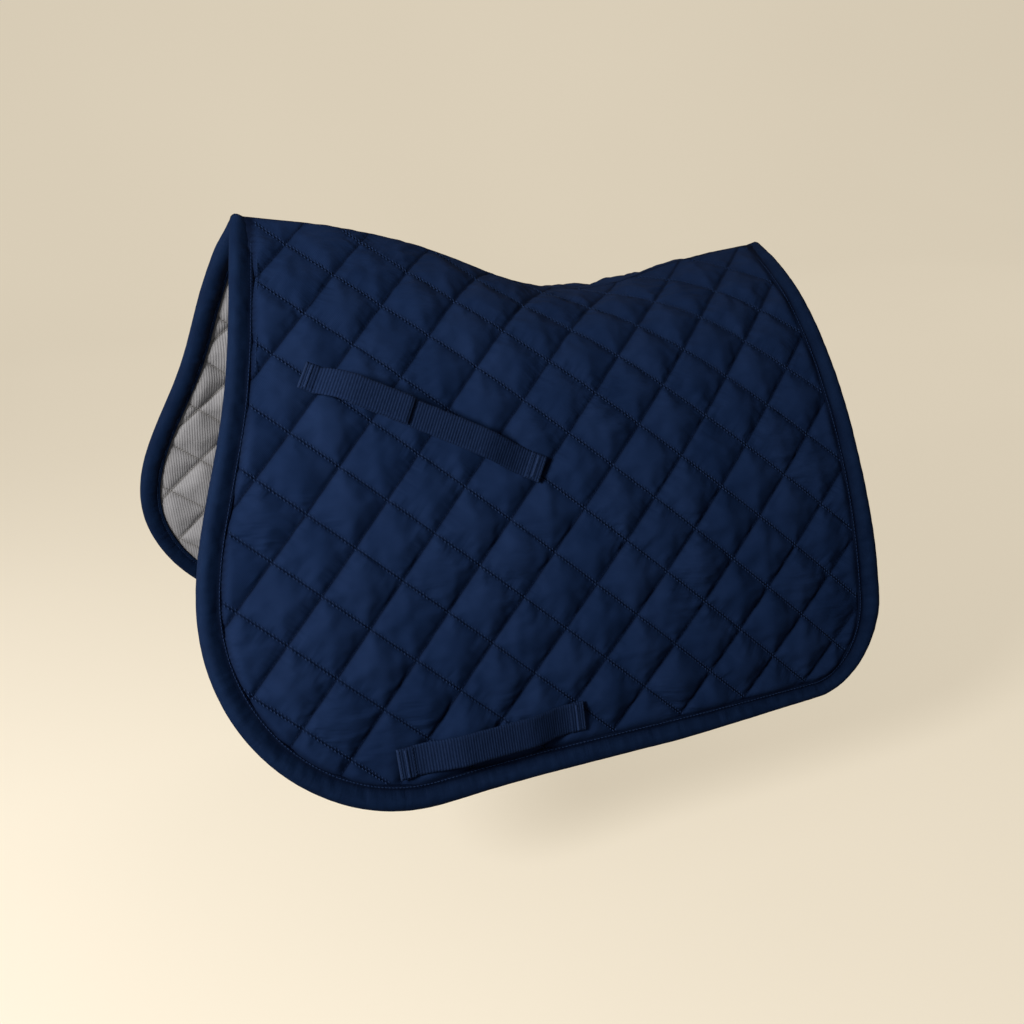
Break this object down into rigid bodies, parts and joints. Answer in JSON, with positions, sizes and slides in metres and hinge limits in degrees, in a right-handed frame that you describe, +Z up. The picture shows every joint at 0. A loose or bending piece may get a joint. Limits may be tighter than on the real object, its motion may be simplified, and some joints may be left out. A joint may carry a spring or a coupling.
{
  "type": "saddle pad",
  "caption": "Contoured English all-purpose saddle pad in quilted navy cotton, with a grey quilted lining, rolled edge binding, billet straps and girth loops.",
  "frame": {"origin": "under the spine seam at the lowest point of the seat, where the pad lies on the horse's back", "axes": "+X along the spine towards the rear, -Y the near (left) side, +Z up"},
  "size_m": [0.6607, 0.4934, 0.4932],
  "materials": {
    "navy_cotton": "matt quilted cotton twill",
    "wadding": "fibre wadding",
    "grey_lining": "brushed quilted cotton",
    "navy_binding": "matt rolled cotton binding",
    "webbing": "ribbed webbing",
    "hook_and_loop": "hook and loop tape",
    "thread": "sewing thread"
  },
  "bodies": {
    "near_half": {"near_outer_cotton": "navy_cotton", "near_wadding": "wadding", "near_lining": "grey_lining", "near_edge_binding": "navy_binding", "near_binding_stitching": "thread", "near_billet_base_strap": "webbing", "near_billet_tab_foot": "webbing", "near_loop_patch": "hook_and_loop", "near_billet_base_bartack": "thread", "near_billet_foot_bartack": "thread", "near_girth_loop": "webbing", "near_girth_front_bartack": "thread", "near_girth_rear_bartack": "thread", "spine_seam_stitching": "thread"},
    "far_half": {"far_outer_cotton": "navy_cotton", "far_wadding": "wadding", "far_lining": "grey_lining", "far_edge_binding": "navy_binding", "far_binding_stitching": "thread", "far_billet_base_strap": "webbing", "far_billet_tab_foot": "webbing", "far_loop_patch": "hook_and_loop", "far_billet_base_bartack": "thread", "far_billet_foot_bartack": "thread", "far_girth_loop": "webbing", "far_girth_front_bartack": "thread", "far_girth_rear_bartack": "thread"},
    "near_tab": {"near_billet_tab": "webbing", "near_hook_patch": "hook_and_loop"},
    "far_tab": {"far_billet_tab": "webbing", "far_hook_patch": "hook_and_loop"}
  },
  "joints": [
    {"name": "spine_fold", "type": "hinge", "parent": "near_half", "child": "far_half", "pos_m": [0, 0, 0], "axis": [-1, 0, 0], "range_deg": [0, 50]},
    {"name": "near_tab_peel", "type": "hinge", "parent": "near_half", "child": "near_tab", "pos_m": [-0.29801, -0.10379, -0.02605], "axis": [-0.5201, -0.4335, -0.7359], "range_deg": [0, 120]},
    {"name": "far_tab_peel", "type": "hinge", "parent": "far_half", "child": "far_tab", "pos_m": [-0.29801, 0.10379, -0.02605], "axis": [0.5201, -0.4335, 0.7359], "range_deg": [0, 120]}
  ]
}
